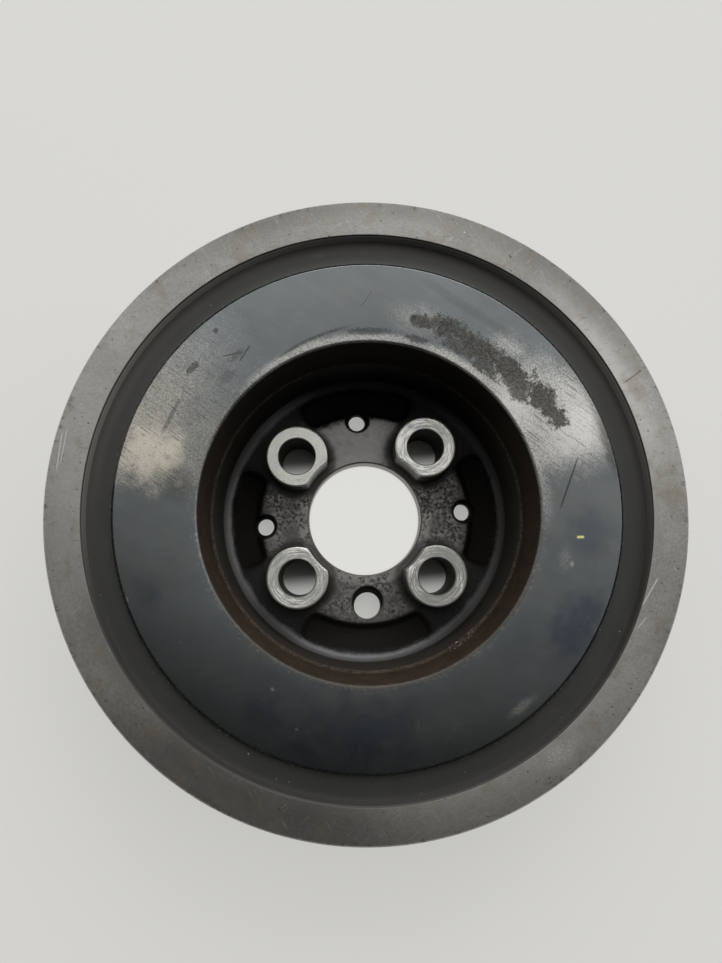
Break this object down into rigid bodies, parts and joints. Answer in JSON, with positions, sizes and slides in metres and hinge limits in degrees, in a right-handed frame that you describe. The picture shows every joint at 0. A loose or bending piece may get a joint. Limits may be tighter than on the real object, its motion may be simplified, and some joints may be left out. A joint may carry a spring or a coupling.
{
  "type": "crankshaft pulley",
  "caption": "Ribbed-belt crankshaft pulley with a rubber damper: a deep cup-shaped iron hub with tall bolt bosses inside a rubber ring and a heavy grooved outer ring.",
  "frame": {"origin": "centre of the bore on the hub's mounting face, which the part lies on", "axes": "+Z along the bore towards the bolt heads; the puller holes lie at +X, -X and +Y, and the locating hole near -Y"},
  "size_m": [0.188, 0.188, 0.0505],
  "materials": {
    "hub_iron": "blue-black skin, worn and rusted in places",
    "damper_rubber": "matt, dusty",
    "ring_iron": "turned and worn, with light stains"
  },
  "bodies": {
    "root": {"hub": "hub_iron", "rubber_ring": "damper_rubber", "pulley_ring": "ring_iron"}
  },
  "joints": []
}
